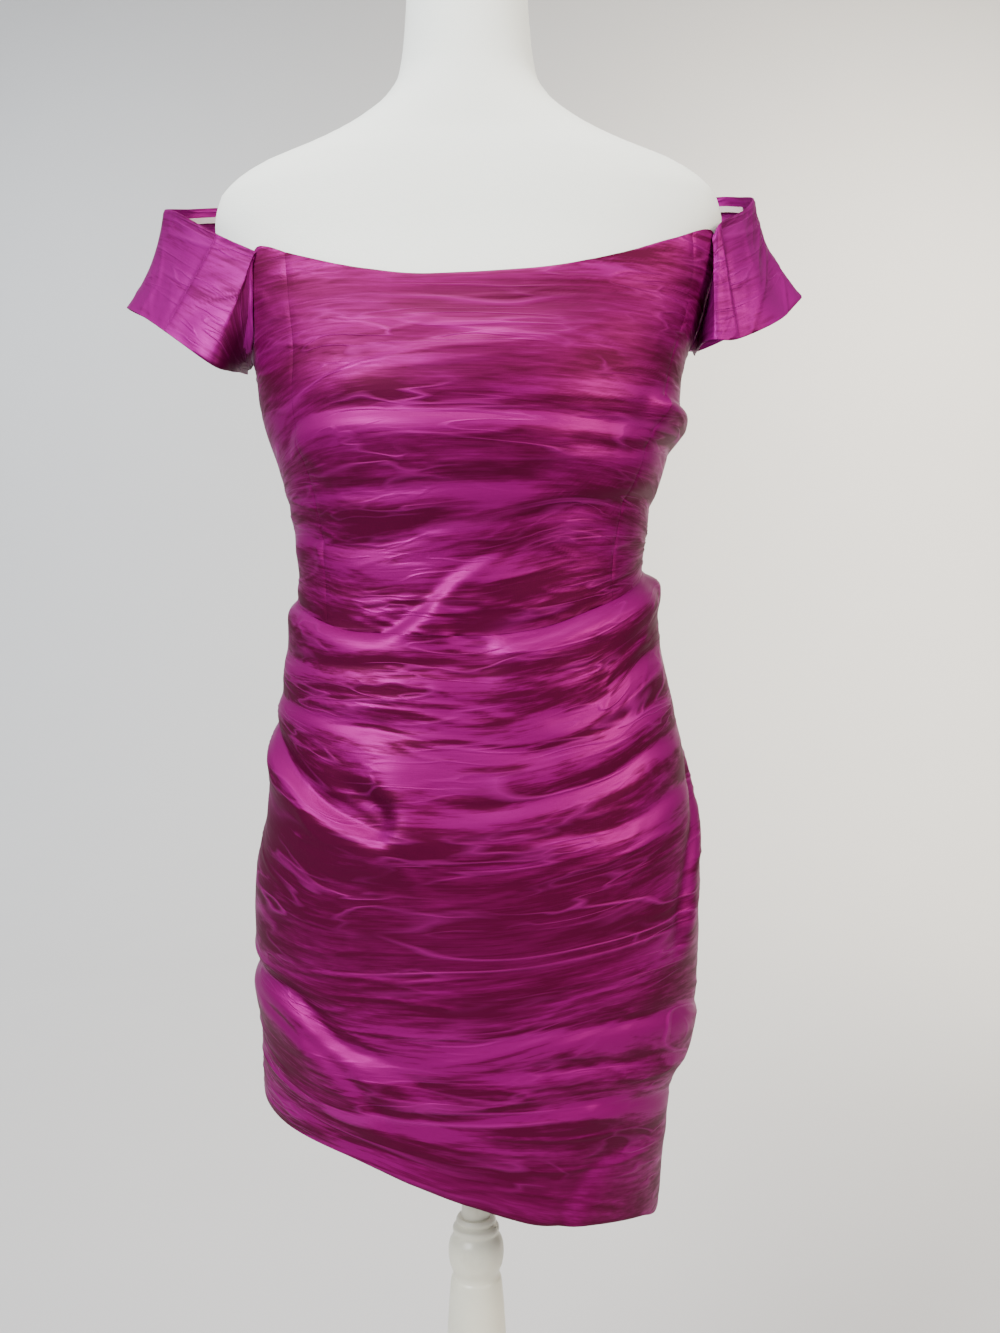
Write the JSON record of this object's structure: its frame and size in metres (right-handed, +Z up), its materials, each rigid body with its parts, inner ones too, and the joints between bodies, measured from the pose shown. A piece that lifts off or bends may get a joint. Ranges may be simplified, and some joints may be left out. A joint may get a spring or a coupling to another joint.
{
  "type": "off-shoulder dress on a dress form",
  "caption": "Draped knee-baring sheath dress with a wide open neckline, off-shoulder sleeves and a slanting hem, worn by a limbless dress form on a turned stand.",
  "frame": {"origin": "centre of the stand's round base, on the floor", "axes": "+Z up along the stand's axis, -Y out of the dress's front, +X to the wearer's left"},
  "size_m": [0.5676, 0.34, 1.56],
  "materials": {
    "taffeta": "crinkled shot taffeta with a soft metallic sheen",
    "tape": "matte woven tape",
    "zip": "matte coil zip",
    "zip_metal": "enamelled in the dress's colour",
    "form_jersey": "white knitted cover",
    "painted_wood": "off-white satin paint"
  },
  "bodies": {
    "dress_on_form": {"bodice_front": "taffeta", "bodice_side_right": "taffeta", "bodice_side_left": "taffeta", "skirt_front": "taffeta", "back_right": "taffeta", "back_left": "taffeta", "sleeve_right": "taffeta", "sleeve_left": "taffeta", "tape_right": "tape", "tape_left": "tape", "zip_chain": "zip", "zip_slider": "zip_metal", "form_torso": "form_jersey", "stand_post": "painted_wood", "stand_base": "painted_wood"},
    "zip_pull": {"zip_tab": "zip_metal"}
  },
  "joints": [
    {"name": "zip_tab_hinge", "type": "hinge", "parent": "dress_on_form", "child": "zip_pull", "pos_m": [0, 0.1042, 1.34534], "axis": [1, 0, 0], "range_deg": [0, 150]}
  ]
}
